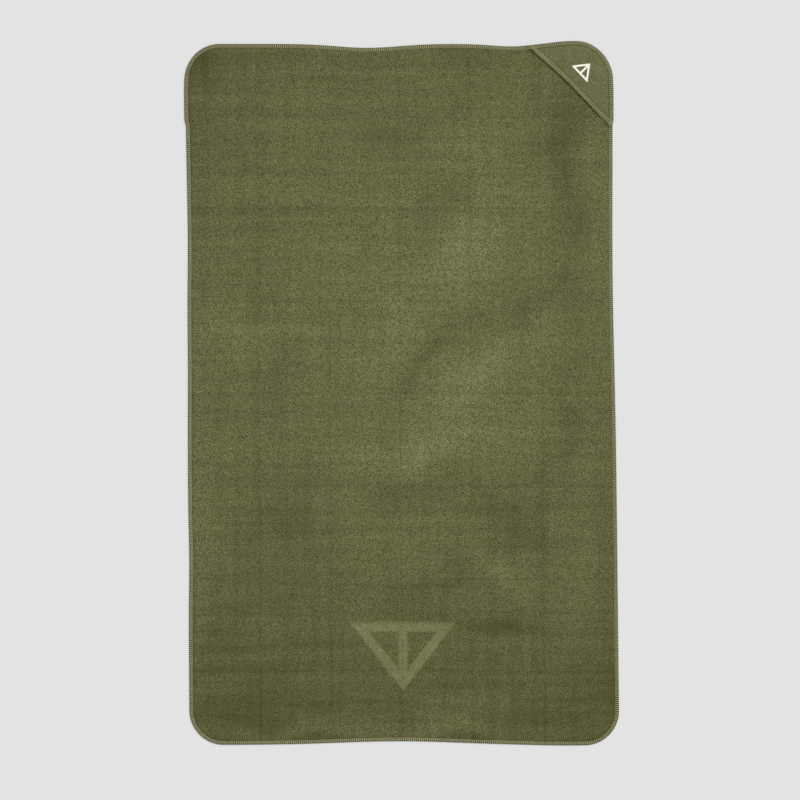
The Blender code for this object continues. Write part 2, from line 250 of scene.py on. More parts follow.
def painted_nap_sheen(x, y):
    """Painted sheen and shade: light and dark patches for the nap's sheen and for the shading of soft waves
    in the cloth. They are a sum of ellipses, each e to the minus (u^2 + v^2).

    u and v run along and across the stroke, in half lengths and half widths. Their places are bent a little,
    so that no stroke has an even outline.
    """
    bent_x = x + 9 * MM * np.sin(38 * y + 1) + 5 * MM * np.sin(61 * x - 47 * y)
    bent_y = y + 9 * MM * np.sin(33 * x + 2) + 5 * MM * np.sin(52 * y + 58 * x)
    lay = 0 * x
    for middle_x, middle_y, length, width, turn, lighter in SHEEN_PATCHES:
        turn = math.radians(turn)
        from_x, from_y = bent_x - middle_x * MM, bent_y - middle_y * MM
        u = (from_x * math.cos(turn) + from_y * math.sin(turn)) / (length * MM)
        v = (from_y * math.cos(turn) - from_x * math.sin(turn)) / (width * MM)
        lay = lay + lighter * np.exp(-(u ** 2) - v ** 2)
    return lay


def pitched(*stops):
    """Positions in even steps, each run close to its pitch: the stops are place, pitch, place, pitch, ..."""
    runs = []
    for start, pitch, end in zip(stops[0:-2:2], stops[1:-1:2], stops[2::2], strict=True):
        runs.append(np.linspace(start, end, max(1, round((end - start) / pitch)) + 1)[:-1])
    return np.concatenate([*runs, [stops[-1]]])


def cells(index):
    """Quads of a grid of point numbers."""
    a, b, c, d = index[:-1, :-1], index[:-1, 1:], index[1:, 1:], index[1:, :-1]
    return np.stack([a, b, c, d], axis=-1).reshape(-1, 4)


def strip_faces(count, columns, closed=False, flip=False):
    """Quads between rows of points: count rows of the given number of columns, numbered in order."""
    index = np.arange(count * columns).reshape(count, columns)
    if closed:
        index = np.concatenate([index, index[:, :1]], axis=1)
    return cells(index)[:, ::-1] if flip else cells(index)


def ahead_of(index):
    return np.roll(index, -1)


def wall_faces(edge, count):
    """Quads from a closed edge of the top face down to the same edge of the underside, count points later."""
    ahead = ahead_of(edge)
    return np.stack([edge, edge + count, ahead + count, ahead], -1)


def two_faced(x, y, low, high):
    """X, Y and Z of the top face's points and then of the underside's."""
    return np.tile(x.ravel(), 2), np.tile(y.ravel(), 2), np.concatenate([high.ravel(), low.ravel()])


def make_piece(name, points, quads, more_faces=(), smooth=True, **attributes):
    """Mesh object from an array of points and one of quads, with point attributes by name."""
    mesh = bpy.data.meshes.new(name)
    faces = quads.tolist() + [list(face) for face in more_faces]
    mesh.from_pydata(points.reshape(-1, 3).tolist(), [], faces)
    for key, values in attributes.items():
        if values.ndim == 2:
            mesh.attributes.new(key, "FLOAT_VECTOR", "POINT").data.foreach_set("vector", values.ravel())
        else:
            mesh.attributes.new(key, "FLOAT", "POINT").data.foreach_set("value", values.ravel())
    mesh.polygons.foreach_set("use_smooth", np.full(len(mesh.polygons), smooth))
    mesh.validate()
    piece = bpy.data.objects.new(name, mesh)
    bpy.context.scene.collection.objects.link(piece)
    return piece


def flat_place(x, y):
    """Texture place of a two-faced cloth: the flat plan, with each face in a level layer of the pattern."""
    plan = np.stack([x.ravel(), y.ravel()], -1)
    layers = [np.full((len(plan), 1), layer * MM) for layer in (0.35, -0.65)]
    return np.concatenate([np.hstack([plan, layers[0]]), np.hstack([plan, layers[1]])])


def sheet_grid():
    """Plan points of one face of the sheet: rings that follow the rim, and a grid that fills the last ring.

    The grid's four sides are the last ring, each from the middle of one corner's arc to the next. Inside, a
    point is the blend of the two ends and of the two sides, less the blend of the four corners. Rows are
    closest at the crease and at the tent.
    """
    wide, fine, finest = 5.4 * MM, 2.2 * MM, 0.6 * MM
    tent_x, tent_y, bend = TENT_SIZE[0] / 2 + 4 * MM, TENT_SIZE[1] / 2 + 4 * MM, FOLD_REACH + 1 * MM
    arc_steps = np.linspace(0, ARC / 2, 11)[1:]
    along = pitched(-CORE_Y, wide, TENT_CENTRE[1] - tent_y, fine, TENT_CENTRE[1] + tent_y, wide,
                    -bend, finest, bend, wide, CORE_Y)
    across = pitched(-CORE_X, wide, -tent_x, fine, tent_x, wide, CORE_X)
    right = np.concatenate([-CORE_Y - arc_steps[::-1], along, CORE_Y + arc_steps])
    top = CORE_Y + ARC + CORE_X + np.concatenate([-CORE_X - arc_steps[::-1], across, CORE_X + arc_steps])
    half_rim = RIM_LENGTH / 2
    left = half_rim - right[::-1]
    ring_s = np.concatenate([right[:-1], top[:-1], left[:-1], half_rim + top[:-1]])

    insets = np.array([0.2, 0.6, 2.2, 3.6, 4.1, 4.5, 4.8, 5.1, 5.5, 6.0, 6.7, 7.6, 9.2, 12.4]) * MM
    ring_x, ring_y = rim_point(ring_s[None, :], insets[:, None])

    rows, columns = len(right), len(top)
    last = insets[-1]
    side_right = np.stack(rim_point(right, last), -1)
    side_left = np.stack(rim_point(left[::-1], last), -1)
    end_far = np.stack(rim_point(top[::-1], last), -1)
    end_near = np.stack(rim_point(half_rim + top, last), -1)
    u = ((end_near[:, 0] - end_near[0, 0]) / (end_near[-1, 0] - end_near[0, 0]))[None, :, None]
    v = ((side_right[:, 1] - side_right[0, 1]) / (side_right[-1, 1] - side_right[0, 1]))[:, None, None]
    grid = mix(end_near[None], end_far[None], v) + mix(side_left[:, None], side_right[:, None], u)
    grid -= (1 - u) * (1 - v) * end_near[0] + u * (1 - v) * end_near[-1]
    grid -= (1 - u) * v * end_far[0] + u * v * end_far[-1]
    return ring_x, ring_y, grid, rows, columns


def sheet_mesh():
    """Top and underside share one plan, and are joined by the cut edge at the first ring."""
    ring_x, ring_y, grid, rows, columns = sheet_grid()
    rings, around = ring_x.shape
    inner = grid[1:-1, 1:-1]
    x = np.concatenate([ring_x.ravel(), inner[..., 0].ravel()])
    y = np.concatenate([ring_y.ravel(), inner[..., 1].ravel()])
    count = len(x)
    index = np.zeros((rows, columns), int)
    index[1:-1, 1:-1] = rings * around + np.arange((rows - 2) * (columns - 2)).reshape(rows - 2, columns - 2)
    border = (rings - 1) * around + np.arange(around)
    index[:, -1] = border[:rows]
    index[-1, ::-1] = border[rows - 1:rows + columns - 1]
    index[::-1, 0] = border[rows + columns - 2:2 * rows + columns - 2]
    index[0, :-1] = border[2 * rows + columns - 3:]
    top_quads = np.concatenate([strip_faces(rings, around, closed=True), cells(index)])
    quads = np.concatenate([top_quads, top_quads[:, ::-1] + count, wall_faces(np.arange(around), count)])
    both_x, both_y, both_z = two_faced(x, y, *sheet_levels(x, y))
    inset = inset_of(both_x, both_y)
    pressed = np.concatenate([emblem_press(x, y), np.zeros(count)])
    # The seam mask: there the material darkens the pressed nap of the edge seam with painted shade
    seam = 1 - ease(PRESSED_TO, PILE_FROM + 1 * MM, inset)
    # Painted sheen and shade of the nap, on the face and mirrored on the underside
    lay = np.concatenate([painted_nap_sheen(x, y), painted_nap_sheen(-x, y)])
    return make_piece("sheet", laid(both_x, both_y, both_z), quads,
                      flat_place=flat_place(x, y), pressed=pressed, seam=seam, lay=lay)


sheet = sheet_mesh()


def node(tree, kind, inputs=None, **settings):
    """Adds a shader node, with its settings, and its inputs as values or as links."""
    item = tree.nodes.new("ShaderNode" + kind)
    for key, value in settings.items():
        setattr(item, key, value)
    for key, value in (inputs or {}).items():
        if isinstance(value, bpy.types.NodeSocket):
            tree.links.new(value, item.inputs[key])
        else:
            item.inputs[key].default_value = value
    return item


def calc(tree, operation, *values):
    """Output of a Math node."""
    return node(tree, "Math", dict(enumerate(values)), operation=operation).outputs[0]


def stored(tree, name, output="Fac"):
    """Output of an Attribute node: Fac for a value, and Vector for a place."""
    return node(tree, "Attribute", attribute_name=name).outputs[output]


def scaled(tree, colour, factor):
    """Colour or vector times a value."""
    return node(tree, "VectorMath", {0: colour, "Scale": factor}, operation="SCALE").outputs[0]


def fade_out(tree, value, start, end):
    """1 up to start, 0 past end, and a smooth S between."""
    return node(tree, "MapRange", {
        "Value": value, "From Min": start, "From Max": end, "To Min": 1.0, "To Max": 0.0,
    }, interpolation_type="SMOOTHSTEP").outputs[0]


def set_values(shader, values):
    """Sets the sockets that are the same all over the surface."""
    for key, value in values.items():
        shader.inputs[key].default_value = value


def give_relief(tree, shader, height, distance, strength=1.0):
    """Bump of the given full height on the shader's normal."""
    relief = node(tree, "Bump", {"Height": height, "Distance": distance, "Strength": strength})
    tree.links.new(relief.outputs[0], shader.inputs["Normal"])


def noise(tree, place, stretch, scale, detail=2.0, roughness=0.5, distortion=0.0):
    """Noise pattern around 0, in about -0.5 to 0.5, on a place that is stretched first."""
    mapped = node(tree, "Mapping", {"Vector": place, "Scale": stretch})
    made = node(tree, "TexNoise", {
        "Vector": mapped.outputs[0], "Scale": scale, "Detail": detail,
        "Roughness": roughness, "Distortion": distortion,
    })
    return calc(tree, "SUBTRACT", made.outputs["Fac"], 0.5)


def make_group(name, takes, gives):
    """Empty node group with named float or vector inputs and float outputs."""
    group = bpy.data.node_groups.new(name, "ShaderNodeTree")
    for key, kind, value in takes:
        socket = group.interface.new_socket(key, in_out="INPUT", socket_type=kind)
        if value is not None:
            socket.default_value = value
    for key in gives:
        group.interface.new_socket(key, in_out="OUTPUT", socket_type="NodeSocketFloat")
    return group, group.nodes.new("NodeGroupInput").outputs, group.nodes.new("NodeGroupOutput").inputs


def brushed_nap_group():
    """Nap of sueded microfibre: fine fibre tips, drawn out a little along X, over short streaks of the knit.

    Shade is around 0 and tells how light the nap is, and Height is the same relief as a bump.
    """
    group, takes, gives = make_group("brushed_nap", [
        ("Place", "NodeSocketVector", None),
        ("Tip Contrast", "NodeSocketFloat", 6.2),
        ("Streak Contrast", "NodeSocketFloat", 0.12),
    ], ["Shade", "Height"])
    place = takes["Place"]
    tips = noise(group, place, (0.8, 1.1, 1), 1100, detail=3, roughness=0.65)
    streaks = noise(group, place, (0.12, 1, 1), 230, detail=3, roughness=0.6)
    fibres = noise(group, place, (0.35, 1, 1), 1900, detail=2, roughness=0.6)
    tip_shade = calc(group, "MULTIPLY", tips, takes["Tip Contrast"])
    streak_shade = calc(group, "MULTIPLY", streaks, takes["Streak Contrast"])
    shade = calc(group, "ADD", tip_shade, streak_shade)
    group.links.new(calc(group, "MULTIPLY_ADD", fibres, 0.6, shade), gives["Shade"])
    group.links.new(calc(group, "MULTIPLY_ADD", fibres, 0.5, tips), gives["Height"])
    return group


def fold_line(tree, distance_along, first, spacing, width):
    """1 on evenly spaced fold lines and 0 a width away, from the distance to the nearest line."""
    from_line = calc(tree, "PINGPONG", calc(tree, "SUBTRACT", distance_along, first), spacing / 2)
    return fade_out(tree, from_line, 0.0, width)


brushed_nap = brushed_nap_group()
SUEDE_OLIVE = (0.131, 0.131, 0.0535)


def start_material(name):
    """Node material with only a Principled shader and its output."""
    material = bpy.data.materials.new(name)
    material.use_nodes = True
    return material, material.node_tree, material.node_tree.nodes["Principled BSDF"]


LEAST_LIGHT, LEAST_COLOUR, LEAST_TIPS = 0.15, 0.12, 0.2
TIP_BLUE, LIGHT_BLUE = 1.45, 0.3  # how much bluer a fibre tip is, and light cloth
TIPS_IN_LIGHT = 1.6


def suede_shader(tree, shader, colour, tips, shade, height, bump):
    """Colour scaled by 1 + shade, plus greyer fibre tips, on a rough shader with a soft sheen.

    Where the cloth is dark it is also a little less blue. The tips stand out most where it is light, because
    they are scaled by 1 plus TIPS_IN_LIGHT times the shade.
    """
    factor = calc(tree, "MAXIMUM", calc(tree, "ADD", shade, 1.0), LEAST_LIGHT)
    stand_out = calc(tree, "MAXIMUM", calc(tree, "MULTIPLY_ADD", shade, TIPS_IN_LIGHT, 1.0), LEAST_TIPS)
    summed = scaled(tree, colour, factor)
    for tint, amount in (
        ((colour[0], colour[1], colour[2] * TIP_BLUE), calc(tree, "MULTIPLY", tips, stand_out)),
        ((0, 0, LIGHT_BLUE * colour[2]), shade),
    ):
        tinted = scaled(tree, tint, amount)
        summed = node(tree, "VectorMath", {0: summed, 1: tinted}, operation="ADD").outputs[0]
    least = [LEAST_COLOUR * part for part in colour]
    floored = node(tree, "VectorMath", {0: summed, 1: least}, operation="MAXIMUM")
    tree.links.new(floored.outputs[0], shader.inputs["Base Color"])
    give_relief(tree, shader, height, bump)
    set_values(shader, {
        "Roughness": 0.95, "Specular IOR Level": 0.15, "Sheen Weight": 0.12, "Sheen Roughness": 0.45,
        "Sheen Tint": (0.75, 0.78, 0.55, 1),
    })


# The last is the strength of the painted sheen and shade patches
PATCHINESS, ROWS_SHOW, COLUMNS_SHOW, SHEEN_PATCHES_SHOW = 0.22, 0.36, 0.27, 1.25  # of the nap and of the knit
# Strengths: painted shade along the folds, the seam and the front pocket's mouth, and the lighter tone of the
# pressed tent
FOLD_PAINTED_SHADE, TENT_SHOWS, SEAM_PAINTED_SHADE, MOUTH_PAINTED_SHADOW = -0.38, 0.52, -0.08, -0.42
FOLD_WIDTH = 4 * MM
MOUTH_SUM = HALF_WIDTH + HALF_LENGTH - POCKET_LEG  # X plus Y along the front pocket's mouth
CROSS_FOLDS, LONG_FOLDS = (0.0, 132 * MM), (-103 * MM, 101 * MM)  # a first line and the spacing
# Middle in X and Y of the painted light falloff
PAINTED_FALLOFF_MIDDLE = (35 * MM, 100 * MM)


def squared(tree, value, centre):
    """Square of the distance from a centre."""
    return calc(tree, "POWER", calc(tree, "ABSOLUTE", calc(tree, "SUBTRACT", value, centre)), 2.0)


def sheet_material():
    """Suede with patchy nap, painted sheen and light falloff, painted shade on its folds, its pressed seam
    and beside the pocket's mouth, and a smoother pressed tent.
    """
    material, tree, shader = start_material("olive_suede")
    place = stored(tree, "flat_place", "Vector")
    pressed, seam, lay = stored(tree, "pressed"), stored(tree, "seam"), stored(tree, "lay")
    nap = node(tree, "Group", {"Place": place}, node_tree=brushed_nap).outputs

    patches = noise(tree, place, (1, 1, 1), 16, detail=3, roughness=0.55, distortion=0.4)
    rows = noise(tree, place, (0.04, 1, 1), 75, detail=1.5, roughness=0.55)
    columns = noise(tree, place, (1, 0.04, 1), 60, detail=1.5, roughness=0.55)
    split = node(tree, "SeparateXYZ", {0: place}).outputs
    # Packing folds: painted shade darkens the cloth unevenly along each fold line, and a bump sinks it a
    # little
    cross_folds = fold_line(tree, split["Y"], *CROSS_FOLDS, FOLD_WIDTH)
    long_folds = fold_line(tree, split["X"], *LONG_FOLDS, FOLD_WIDTH)
    fold_unevenness = calc(tree, "MULTIPLY_ADD", noise(tree, place, (1, 1, 1), 9, detail=2), 0.7, 0.2)
    folds = calc(tree, "MULTIPLY", calc(tree, "MAXIMUM", cross_folds, long_folds),
                 calc(tree, "MAXIMUM", fold_unevenness, 0.0))

    # Painted light falloff: the cloth is painted lighter around the middle and darker toward the ends
    painted_falloff = calc(tree, "MULTIPLY", squared(tree, split["Y"], PAINTED_FALLOFF_MIDDLE[1]), -1.0)
    painted_falloff = calc(tree, "MULTIPLY_ADD", squared(tree, split["X"], PAINTED_FALLOFF_MIDDLE[0]), -1.3, painted_falloff)

    shade = calc(tree, "ADD", painted_falloff, 0.06)
    # Random tone, knit rows and columns, painted sheen and shade patches, painted shade on the folds and the
    # seam, and the lighter pressed tent
    for pattern, strength in (
        (patches, PATCHINESS), (rows, ROWS_SHOW), (columns, COLUMNS_SHOW), (lay, SHEEN_PATCHES_SHOW),
        (folds, FOLD_PAINTED_SHADE), (pressed, TENT_SHOWS), (seam, SEAM_PAINTED_SHADE),
    ):
        shade = calc(tree, "MULTIPLY_ADD", pattern, strength, shade)

    # Beside the front pocket's mouth, painted shadow of the hem darkens the nap
    past_mouth = calc(tree, "SUBTRACT", calc(tree, "ADD", split["X"], split["Y"]), MOUTH_SUM - 2.4 * MM)
    mouth_shadow = fade_out(tree, calc(tree, "ABSOLUTE", past_mouth), 1 * MM, 5 * MM)
    mouth_shadow = calc(tree, "MULTIPLY", mouth_shadow, calc(tree, "GREATER_THAN", split["Z"], 0.0))  # on the face only
    shade = calc(tree, "MULTIPLY_ADD", mouth_shadow, MOUTH_PAINTED_SHADOW, shade)
    height = calc(tree, "MULTIPLY_ADD", folds, -2.0, nap["Height"])
    tips = calc(tree, "MULTIPLY", nap["Shade"], calc(tree, "MULTIPLY_ADD", pressed, -0.5, 1.0))
    suede_shader(tree, shader, SUEDE_OLIVE, tips, shade, height, 0.35 * MM)
    return material


sheet.data.materials.append(sheet_material())
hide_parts("sheet_near_half", "sheet_far_half")
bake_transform(sheet)


# ------------------------------------------------------------------------------------
# Pocket patches: a triangle of thinner suede on the face at the +X +Y corner, and one on the back at the
# -X +Y corner. The edge overlock catches each on its two outer sides, and its third side is the mouth.
# ------------------------------------------------------------------------------------

HEM_BAND, HEM_TO = 4.6 * MM, 8.2 * MM  # overlocked part of the mouth, and where the full patch begins
HEM_NEEDLE = 4.85 * MM
PATCH_OLIVE = (0.139, 0.139, 0.063)


def front_patch_levels(x, y):
    """Underside and top of the front patch: pressed at the rim, swelling off the sheet, thin in the hem."""
    inset, mouth = inset_of(x, y), mouth_inset(x, y, 1)
    swell = ease(PRESSED_TO, POCKET_RISE_TO, inset)
    hem = 1 - ease(HEM_BAND, HEM_TO, mouth)
    low = mix(SEAM_HIGH - PATCH_PRESSED, CLOTH + LAY_GAP, swell)
    low = low + 0.45 * MM * hem * ease(PRESSED_TO, 18 * MM, inset)
    thick = mix(PATCH_PRESSED, PATCH, ease(PRESSED_TO, 2 * PRESSED_TO, inset) * (1 - hem))
    high = low + thick - 0.1 * MM * bump_at(HEM_NEEDLE, NEEDLE_GROOVE, mouth)
    return low, high - 0.12 * MM * bump_at(NEEDLE_LINE, NEEDLE_GROOVE, inset)


def back_patch_levels(x, y):
    """Underside and top of the back patch, which hangs under the lifted sheet and clears the floor."""
    inset, mouth = inset_of(x, y), mouth_inset(x, y, -1)
    swell = ease(PRESSED_TO, POCKET_RISE_TO, inset)
    hem = 1 - ease(HEM_BAND, HEM_TO, mouth)
    high = mix(SEAM_LOW + PATCH_PRESSED + 0.4 * MM * swell, 0.7 * MM, hem * swell)
    thick = mix(PATCH_PRESSED, PATCH, ease(PRESSED_TO, 2 * PRESSED_TO, inset) * (1 - hem))
    return np.maximum(high - thick, 0.2 * MM), high


def shell_faces(rows, columns, flip=False):
    """Quads of a thin closed shell: the top's grid, the underside's after it, and the wall between them."""
    count = rows * columns
    top_quads = strip_faces(rows, columns, flip=flip)
    index = np.arange(count).reshape(rows, columns)
    loop = np.concatenate([index[0, :-1], index[:-1, -1], index[-1, :0:-1], index[:0:-1, 0]])
    wall = wall_faces(loop, count)
    return np.concatenate([top_quads, top_quads[:, ::-1] + count, wall[:, ::-1] if flip else wall])


def patch_mesh(name, side, levels):
    """Rows follow the rim at growing insets, round the corner, and close in on the middle of the mouth.

    A row runs straight, round the corner's arc and straight again, between two points of the mouth's line,
    where the distances from the two rims add up to the pocket's leg. Its points are closest at its two ends,
    where the hem is. The last rows are the one before them, drawn smaller toward the mouth's middle.
    """
    last = CORNER_RADIUS - 1 * MM
    insets = pitched(0.6 * MM, 1.4 * MM, 4.2 * MM, 0.4 * MM, HEM_TO, 1.6 * MM, last)[:, None]
    hem_steps = np.concatenate([np.arange(0, 9, 0.75), np.arange(9, 16, 1.4)]) * ROOT_TWO * MM
    straight = POCKET_LEG - CORNER_RADIUS - insets
    turn = math.pi / 2 * (CORNER_RADIUS - insets)
    length = 2 * straight + turn
    ends = hem_steps * np.minimum(1, 0.4 * length / hem_steps[-1])
    inner = ends[:, -1:] + (length - 2 * ends[:, -1:]) * np.linspace(0, 1, 34)[1:-1]
    along = np.concatenate([ends, inner, length - ends[:, ::-1]], axis=1)
    s = HALF_LENGTH - POCKET_LEG + insets + np.minimum(along, straight)
    s = s + np.clip(along - straight, 0, turn) * ARC / turn + np.maximum(along - straight - turn, 0)
    x, y = rim_point(s, insets)
    closing = np.array([0.85, 0.7, 0.55, 0.4, 0.25, 0.1])[:, None]
    middle_x, middle_y = HALF_WIDTH - POCKET_LEG / 2, HALF_LENGTH - POCKET_LEG / 2
    x = side * np.concatenate([x, mix(middle_x, x[-1:], closing)])
    y = np.concatenate([y, mix(middle_y, y[-1:], closing)])
    both_x, both_y, both_z = two_faced(x, y, *levels(x, y))
    mouth = mouth_inset(both_x, both_y, side)
    inset = inset_of(both_x, both_y)
    # The seam mask: there the material darkens the pressed nap of the rim and the hem with painted shade
    seam = np.maximum(1 - ease(PRESSED_TO, PILE_FROM, inset), 1 - ease(HEM_BAND, HEM_TO - 1 * MM, mouth))
    return make_piece(name, laid(both_x, both_y, both_z), shell_faces(*x.shape, flip=side < 0),
                      flat_place=flat_place(x, y), seam=seam)


def patch_material():
    """The same suede, shorn smoother and a little lighter, with the pressed nap in its seams darkened by
    painted shade.
    """
    material, tree, shader = start_material("olive_suede_patch")
    place = stored(tree, "flat_place", "Vector")
    seam = stored(tree, "seam")
    nap = node(tree, "Group", {"Place": place, "Tip Contrast": 3.6, "Streak Contrast": 0.2},
               node_tree=brushed_nap).outputs
    patches = noise(tree, place, (1, 1, 1), 36, detail=2)
    shade = calc(tree, "MULTIPLY", patches, 0.35)
    # Painted shade darkens the pressed nap along the seams
    shade = calc(tree, "MULTIPLY_ADD", seam, -0.3, shade)
    suede_shader(tree, shader, PATCH_OLIVE, nap["Shade"], shade, nap["Height"], 0.2 * MM)
    return material


patch_suede = patch_material()
front_patch = patch_mesh("front_pocket_suede", 1, front_patch_levels)
back_patch = patch_mesh("back_pocket_suede", -1, back_patch_levels)
for patch, cad_patch in ((front_patch, "front_pocket_patch"), (back_patch, "back_pocket_patch")):
    patch.data.materials.append(patch_suede)
    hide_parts(cad_patch)
    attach(patch, "far_half")


# ------------------------------------------------------------------------------------
# Edge overlock: three spun polyester threads sewn over the cut edge. The needle thread runs in stitches just
# inside the band. The upper looper crosses the face in narrow loops and the lower looper the back, and
# they meet in a row of knots round the rim.
# ------------------------------------------------------------------------------------

STITCH = 2.8 * MM
STITCHES = round(RIM_LENGTH / STITCH)


def stitch_path(stitches, pitch, shape):
    """Repeats the points of one stitch. Rows of the shape are share of the pitch, inset and height."""
    shape = np.array(shape)
    start = np.repeat(np.arange(stitches), len(shape))
    repeated = np.tile(shape, (stitches, 1))
    repeated[:, 0] = (repeated[:, 0] + start) * pitch
    return repeated


def thread_tube(name, path, reference, across, upright, sides=5, closed=True, tight=None):
    """Tube round a path. Across and upright are its half widths, square to the reference and along it.

    At each point the side vector is the tangent crossed with the reference, and the up vector is square to
    both. Rings of points go round in equal angles. The thread's own length and turn are its texture place,
    and the last argument is 1 where the thread wraps round the rim and painted shade darkens it.
    """
    if closed:
        tangent = np.roll(path, -1, 0) - np.roll(path, 1, 0)
    else:
        tangent = np.gradient(path, axis=0)
    tangent /= np.linalg.norm(tangent, axis=1, keepdims=True)
    side = np.cross(tangent, reference)
    side /= np.linalg.norm(side, axis=1, keepdims=True)
    up = np.cross(side, tangent)
    angle = np.arange(sides) * 2 * math.pi / sides
    ring = np.cos(angle)[None, :, None] * side[:, None] * np.reshape(across, (-1, 1, 1))
    ring = ring + np.sin(angle)[None, :, None] * up[:, None] * np.reshape(upright, (-1, 1, 1))
    points = path[:, None] + ring
    count = len(path)
    quads = strip_faces(count, sides, closed=True, flip=True)
    caps = []
    if closed:
        last, first = (count - 1) * sides + np.arange(sides), np.arange(sides)
        quads = np.concatenate([quads, np.stack([last, first, ahead_of(first), ahead_of(last)], -1)])
    else:
        caps = [list(range(sides)), list(range(count * sides - 1, (count - 1) * sides - 1, -1))]
    step = np.linalg.norm(np.diff(path, axis=0), axis=1)
    run = np.concatenate([[0], np.cumsum(step)])
    round_it = np.tile(np.arange(sides) / sides, count)
    place = np.stack([np.repeat(run, sides), round_it, 0 * round_it], -1)
    tight = np.zeros(count) if tight is None else tight
    return make_piece(name, points, quads, caps, thread_place=place, tight=np.repeat(tight, sides))


def edge_path(shape, height_at):
    """Path of an edge thread: along the rim, in by the inset, and at a height that follows the cloth."""
    stitch = stitch_path(STITCHES, RIM_LENGTH / STITCHES, shape)
    x, y = rim_point(stitch[:, 0], stitch[:, 1])
    return laid(x, y, stitch[:, 2] + height_at(x, y))


def over_hem(x, y):
    """The overlock rides up over the two ends of the front pocket's hem."""
    return 0.4 * MM * (1 - ease(3 * MM, 6 * MM, np.abs(mouth_inset(x, y, 1) - 2.6 * MM)))


def there_and_back(half_loop):
    """A whole loop from its first half, whose rows are share of the stitch, inset and height."""
    return half_loop + [(1 - share, inset, height) for share, inset, height in half_loop[-2:0:-1]]


UPPER_LOOPER = there_and_back([
    (0.00, 4.35 * MM, 1.42 * MM), (0.08, 3.55 * MM, 1.58 * MM), (0.10, 2.40 * MM, 1.63 * MM),
    (0.13, 0.70 * MM, 1.50 * MM), (0.28, 0.05 * MM, 1.12 * MM), (0.50, -0.16 * MM, 0.90 * MM),
])
LOWER_LOOPER = [(share + 0.5, max(inset, 0.3 * MM), CLOTH - height) for share, inset, height in UPPER_LOOPER]
NEEDLE_THREAD = [
    (0.08, NEEDLE_LINE, 1.32 * MM), (0.30, NEEDLE_LINE, 1.54 * MM), (0.70, NEEDLE_LINE, 1.54 * MM),
    (0.92, NEEDLE_LINE, 1.32 * MM), (1.00, NEEDLE_LINE, 0.26 * MM),
]


def thread_twist_group():
    """Plies of a spun thread: slanted stripes round the tube, with loose fibres over them.

    The stripes are a sine of the length along the thread over its lay, plus the turn round it.
    """
    group, takes, gives = make_group("thread_twist", [
        ("Place", "NodeSocketVector", None), ("Lay", "NodeSocketFloat", 1.1 * MM),
    ], ["Shade", "Height"])
    split = node(group, "SeparateXYZ", {0: takes["Place"]}).outputs
    along = calc(group, "DIVIDE", split["X"], takes["Lay"])
    turns = calc(group, "MULTIPLY", calc(group, "MULTIPLY_ADD", split["Y"], 2.0, along), 2 * math.pi)
    plies = calc(group, "MULTIPLY", calc(group, "SINE", turns), 0.5)
    fuzz = noise(group, takes["Place"], (1, 0.002, 1), 2600, detail=2, roughness=0.7)
    uneven = noise(group, takes["Place"], (1, 0, 1), 160, detail=2)
    shade = calc(group, "MULTIPLY_ADD", plies, 0.22, calc(group, "MULTIPLY", fuzz, 0.5))
    group.links.new(calc(group, "MULTIPLY_ADD", uneven, 0.5, shade), gives["Shade"])
    group.links.new(calc(group, "MULTIPLY_ADD", fuzz, 0.6, plies), gives["Height"])
    return group


thread_twist = thread_twist_group()


def thread_material(name, colour):
    """Spun polyester thread: plies, loose fibres and a faint sheen, and painted shade on the loops round the
    rim.
    """
    material, tree, shader = start_material(name)
    place = stored(tree, "thread_place", "Vector")
    twist = node(tree, "Group", {"Place": place}, node_tree=thread_twist).outputs
    tight = stored(tree, "tight")
    # Painted shade darkens the loops that wrap round the rim
    shade = calc(tree, "MULTIPLY_ADD", tight, -0.45, calc(tree, "ADD", twist["Shade"], 1.0))
    factor = calc(tree, "MAXIMUM", shade, 0.2)
    tree.links.new(scaled(tree, colour, factor), shader.inputs["Base Color"])
    give_relief(tree, shader, twist["Height"], 0.05 * MM, 0.8)
    set_values(shader, {"Roughness": 0.7, "Specular IOR Level": 0.3, "Sheen Weight": 0.1})
    return material


overlock_thread = thread_material("overlock_thread", (0.48, 0.468, 0.27))
UP = np.array([0.0, 0.0, 1.0])


def inward_at(s):
    """Unit vectors square to the rim, pointing in."""
    outer, inner = rim_point(s, 0 * MM), rim_point(s, 10 * MM)
    ahead = np.stack([inner[0] - outer[0], inner[1] - outer[1], 0 * s], -1)
    return ahead / np.linalg.norm(ahead, axis=1, keepdims=True)


def drawn_tight(shape):
    """1 where a looper thread wraps round the rim, and 0 where it lies wide on the band. Where it wraps round
    the rim it is thinner, and painted shade darkens it.
    """
    return np.tile(1 - ease(0.2 * MM, 2.2 * MM, np.array(shape)[:, 1]), STITCHES)


needle_s = stitch_path(STITCHES, RIM_LENGTH / STITCHES, NEEDLE_THREAD)[:, 0]
upper_tight, lower_tight = drawn_tight(UPPER_LOOPER), drawn_tight(LOWER_LOOPER)
edge_threads = [
    thread_tube("edge_upper_looper", edge_path(UPPER_LOOPER, over_hem), UP,
                mix(0.29 * MM, 0.17 * MM, upper_tight), 0.20 * MM, tight=upper_tight),
    thread_tube("edge_lower_looper", edge_path(LOWER_LOOPER, lambda x, y: 0 * x), UP,
                mix(0.27 * MM, 0.16 * MM, lower_tight), 0.17 * MM, tight=lower_tight),
    thread_tube("edge_needle_thread", edge_path(NEEDLE_THREAD, over_hem), inward_at(needle_s),
                0.18 * MM, 0.22 * MM),
]
for thread in edge_threads:
    thread.data.materials.append(overlock_thread)
    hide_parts(f"{thread.name}_near_half", f"{thread.name}_far_half")
    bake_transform(thread)


# ------------------------------------------------------------------------------------
# Mouth overlocks: the same three threads bind the free edge of each patch. Their rungs stand
# square to the mouth, and the row's two ends run under the edge overlock.
# ------------------------------------------------------------------------------------

